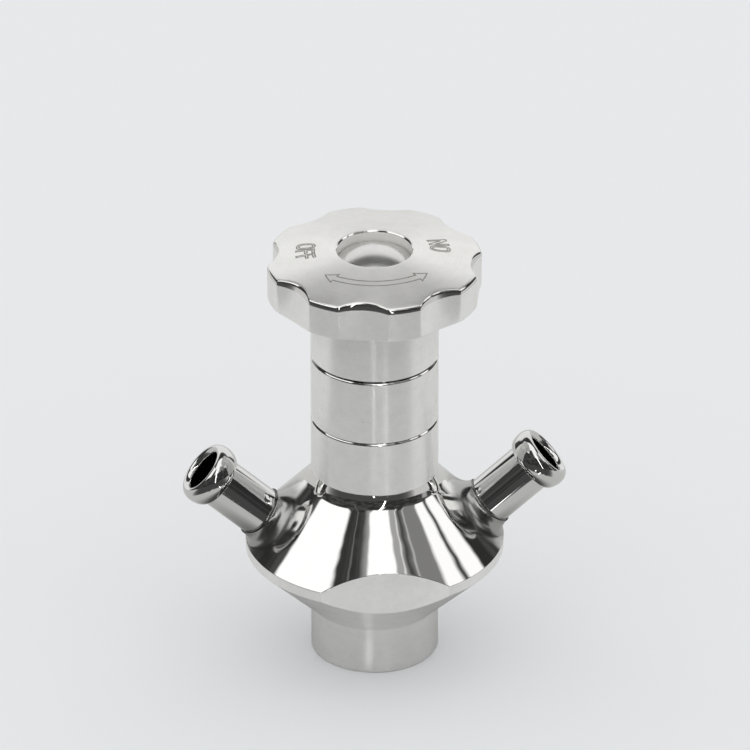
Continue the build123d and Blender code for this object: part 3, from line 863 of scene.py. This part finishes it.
steel = {
    "bright": (0.9, 0.895, 0.875, 1),
    "dull": (0.79, 0.785, 0.765, 1),
    "mirror": (0.82, 0.815, 0.80, 1),
    # Painted shade: the darker colour of the bosses and the cone round them, for the dark port mirrored there
    "bossShade": (0.4, 0.4, 0.39, 1),
    "rings": (7000, 40),
    "stains": 220.0,
    "specks": 1500.0,
    "wavers": 170.0,
    "mirrorRoughness": (0.035, 0.03),
    "softRoughness": (0.13, 0.16),
}


# Stainless steel turned on a lathe: fine rings round Z, soft stains, and a metallic level for each zone.
# Where the mirror mask is 1 it is polished by hand instead, with a slow waver that bends what it mirrors.
# Where the mask for the bosses is 1 as well, that polish is duller, and its colour darker as painted shade.
def steelFinish(name, s, mirrorMask=None, zones=(), dullAndShadedMask=None):
    material, shader, place = startFinish(name)
    x, y, z = place.parts()
    radius = (x * x + y * y) ** 0.5
    fine, coarse = steel["rings"]
    rings = noise(joined(radius * fine, z * fine, x * coarse), 1.0, 3.0, 0.6)
    stain = noise(place, steel["stains"], 4.0, 0.6)
    speck = noise(place, steel["specks"], 2.0, 0.6)
    rough = s["roughness"] + (rings - 0.5) * s["grain"] + (stain - 0.5) * 0.1
    metallic = s["metallic"] + (stain - 0.5) * 0.1
    for zone, level in zones:
        metallic = metallic + (level - metallic) * zone(z, radius)
    tone = (stain * 0.5 + rings * 0.3 + speck * 0.2).step(0.3, 0.7)
    colour = blendColour(tone, *s.get("colours", (steel["dull"], steel["bright"])))
    height = rings * s["ringBump"] + speck * s["speckBump"]
    if mirrorMask is not None:
        mask = mirrorMask(x, y, z, radius, place)
        least, spread = steel["mirrorRoughness"]
        rough = rough + (least + stain * spread - rough) * mask
        metallic = metallic + (1 - metallic) * mask
        colour = blendColour(mask, colour, s.get("mirror", steel["mirror"]))
        waver = noise(place, steel["wavers"], 1.0, 0.4) * s["waver"]
        height = height + (waver - height) * mask
    if dullAndShadedMask is not None:
        mask = dullAndShadedMask(x, y, z, place) * mask
        level, spread = steel["softRoughness"]
        rough = rough + (level + (stain - 0.5) * spread) * mask
        # Painted shade: the colour turns darker where the mask for the bosses is 1
        colour = blendColour(mask, colour, steel["bossShade"])
    bump = place.node("ShaderNodeBump", {}, {"Height": height, "Strength": 1.0, "Distance": 1 * mm})
    shader.inputs["Anisotropic"].default_value = s["stretch"]
    shader.inputs["Anisotropic Rotation"].default_value = 0.25
    setSockets(place, shader,
               {"Base Color": colour, "Metallic": metallic, "Roughness": rough, "Normal": bump})
    return material


# Bands in mm over which one finish turns into the next: depths below the cone or the crown, heights or radii
bands = {
    "cone": (0.03, 0.09),
    "coneWander": 0.6,
    "fillet": (51.5, 51.75),
    "neckSeam": (65.77, 65.83),
    "boss": (9.5, 13.5),
    "bossWander": 4.0,
    "ringSeam": 0.05,
    "crown": (0.12, 0.2),
    "rimEdge": (109.3, 109.6),
    "rimInside": (12.0, 13.0),
    "windowEdge": (112.9, 113.0),
    "hubSeam": (84.35, 84.4),
    "crownHeights": (109.6, 110.2),
    "crownRadii": (9.5, 9.9),
    "windowHeights": (107.0, 107.5),
    "windowRadii": (9.4, 9.6),
}


def past(wire, name):
    low, high = bands[name]
    return wire.step(low * mm, high * mm)


# Polished by hand: the upper cone, the neck's fillet and the bosses. The lower edge wanders a little.
def polishedCone(x, y, z, radius, place):
    s = bodyForm
    wander = noise(place, 130.0, 2.0, 0.5) - 0.5
    coneHeight = (s["hip"] * mm - radius) * s["shoulderSlope"] + s["hipHeights"][1] * mm
    offCone = past(coneHeight - z - wander.larger(0.0) * bands["coneWander"] * mm, "cone")
    offFillet = past(z + wander * bands["coneWander"] * mm, "fillet")
    return ((1 - offCone) * (1 - offFillet)).larger(past(z, "neckSeam"))


# The bosses and the cone next to them: duller polish from a soft wheel, and painted shade in the colour
def bossDullAndShade(x, y, z, place):
    port = bodyForm["port"]
    a = math.radians(port["angle"])
    sideways, upwards = (x * x) ** 0.5 - port["mouth"][0] * mm, z - port["mouth"][1] * mm
    across = upwards * math.cos(a) - sideways * math.sin(a)
    wander = (noise(place, 240.0, 2.0, 0.5) - 0.5) * bands["bossWander"] * mm
    return 1 - past((across * across + y * y) ** 0.5 + wander, "boss")


# Polished: the bevels at the two seams of the neck
def polishedSeams(x, y, z, radius, place):
    s = bonnetForm
    low, high = ((h + d * s["seam"][1]) * mm for h, d in ((s["ring"][1], 1), (s["ring"][2], -1)))
    worn = noise(place, 190.0, 2.0, 0.5).step(0.35, 0.55) * 0.35 + 0.65
    edge = bands["ringSeam"] * mm
    return (1 - z.step(low, low + edge)).larger(z.step(high - edge, high)) * worn


# Polished: the wheel's rounded edge and its window's chamfer, by the crown's own height
def polishedEdge(x, y, z, radius, place):
    s = wheelForm
    fall = (radius * radius - (s["window"][1] * mm) ** 2) / (2 * s["crownRadius"] * mm)
    offCrown = past(s["crownTop"] * mm - z - fall, "crown")
    onEdge = past(z, "rimEdge") * past(radius, "rimInside").larger(past(z, "windowEdge"))
    return (offCrown * onEdge).larger(1 - past(z, "hubSeam"))


def crownZone(z, radius):
    return past(z, "crownHeights") * past(radius, "crownRadii")


def windowZone(z, radius):
    return past(z, "windowHeights") * (1 - past(radius, "windowRadii"))


def everywhere(x, y, z, radius, place):
    return radius * 0 + 1


def put(material, *names):
    for name in names:
        mesh = nodes[name].data
        mesh.materials.clear()
        mesh.materials.append(material)


# A plain finish for a hidden piece: its colour between two tones by a soft noise, with a fine grain
def plainFinish(name, s):
    material, shader, place = startFinish(name)
    cloud = noise(place, s["cloudScale"], 3.0, 0.55)
    grain = noise(place, s["grainScale"], 2.0, 0.6)
    rough = s["roughness"] + (cloud - 0.5) * 0.12 + (grain - 0.5) * 0.1
    bump = place.node("ShaderNodeBump", {}, {"Height": grain, "Strength": 0.4, "Distance": s["bump"] * mm})
    for socket, value in s.get("fixed", {}).items():
        shader.inputs[socket].default_value = value
    setSockets(place, shader, {
        "Base Color": blendColour(cloud.step(0.3, 0.7), *s["tones"]), "Metallic": s["metallic"],
        "Roughness": rough, "Normal": bump})
    return material


satin = {"roughness": 0.36, "grain": 0.1, "metallic": 0.42, "stretch": 0.95, "ringBump": 0.0012,
         "speckBump": 0.0015, "waver": 0.055}
bodySteel = {**satin, "stretch": 0.75}
neckSteel = {**satin, "roughness": 0.3, "ringBump": 0.0007, "speckBump": 0.0006}
wheelSteel = {**satin, "roughness": 0.31, "stretch": 0.8, "waver": 0.02}
capSteel = {**satin, "roughness": 0.22, "metallic": 0.9, "stretch": 0.1,
            "colours": ((0.68, 0.675, 0.66, 1), (0.78, 0.775, 0.76, 1))}
tubeSteel = {**satin, "stretch": 0.0, "waver": 0.03, "mirror": (0.72, 0.72, 0.71, 1)}
machinedSteel = {**satin, "roughness": 0.3, "metallic": 0.9}
laserMark = {"cloudScale": 900.0, "grainScale": 4000.0, "roughness": 0.55, "bump": 0.01, "metallic": 0.7,
             "tones": [(0.3, 0.29, 0.27, 1), (0.42, 0.41, 0.385, 1)]}
wheelZones = [(crownZone, 0.86), (windowZone, 0.1)]
makeBody(bodyForm, steelFinish("bodySteel", bodySteel, polishedCone, dullAndShadedMask=bossDullAndShade))
makeBonnet(bonnetForm, steelFinish("neckSteel", neckSteel, polishedSeams))
makeWheel(wheelForm, steelFinish("wheelSteel", wheelSteel, polishedEdge, wheelZones))
makeCap(capForm, steelFinish("capSteel", capSteel))
makeMarks(markForm, wheelForm, plainFinish("laserMark", laserMark))
put(steelFinish("tubeSteel", tubeSteel, everywhere), "sample_port_tube", "steam_port_tube")
put(steelFinish("machinedSteel", machinedSteel), "stem", "drive_sleeve", "diaphragm_insert",
    "diaphragm_clamp_ring", "retaining_ring", "lock_nut")
hidden = {
    "hardenedSteel": {
        "nodes": ["guide_pin", "hub_key"],
        "cloudScale": 500.0, "grainScale": 5000.0, "roughness": 0.32, "bump": 0.01, "metallic": 1.0,
        "tones": [(0.36, 0.36, 0.37, 1), (0.48, 0.48, 0.49, 1)]},
    "bearingBronze": {
        "nodes": ["lower_thrust_washer", "upper_thrust_washer", "hub_bushing"],
        "cloudScale": 350.0, "grainScale": 4500.0, "roughness": 0.38, "bump": 0.015, "metallic": 1.0,
        "tones": [(0.5, 0.31, 0.14, 1), (0.66, 0.45, 0.24, 1)]},
    "bearingPlastic": {
        "nodes": ["stem_bushing"],
        "cloudScale": 250.0, "grainScale": 3000.0, "roughness": 0.5, "bump": 0.02, "metallic": 0.0,
        "tones": [(0.8, 0.79, 0.75, 1), (0.88, 0.87, 0.84, 1)]},
    "silicone": {
        "nodes": ["diaphragm"],
        "cloudScale": 200.0, "grainScale": 2500.0, "roughness": 0.55, "bump": 0.02, "metallic": 0.0,
        "tones": [(0.76, 0.74, 0.69, 1), (0.85, 0.83, 0.79, 1)],
        "fixed": {"Subsurface Weight": 0.3, "Subsurface Scale": 0.002}},
    "sealRubber": {
        "nodes": ["bonnet_seal_ring", "journal_seal_ring", "stem_seal_ring", "cap_seal_ring"],
        "cloudScale": 400.0, "grainScale": 4000.0, "roughness": 0.6, "bump": 0.02, "metallic": 0.0,
        "tones": [(0.02, 0.02, 0.02, 1), (0.045, 0.045, 0.043, 1)]},
}
for name, s in hidden.items():
    put(plainFinish(name, s), *s["nodes"])
print("finishes put on")
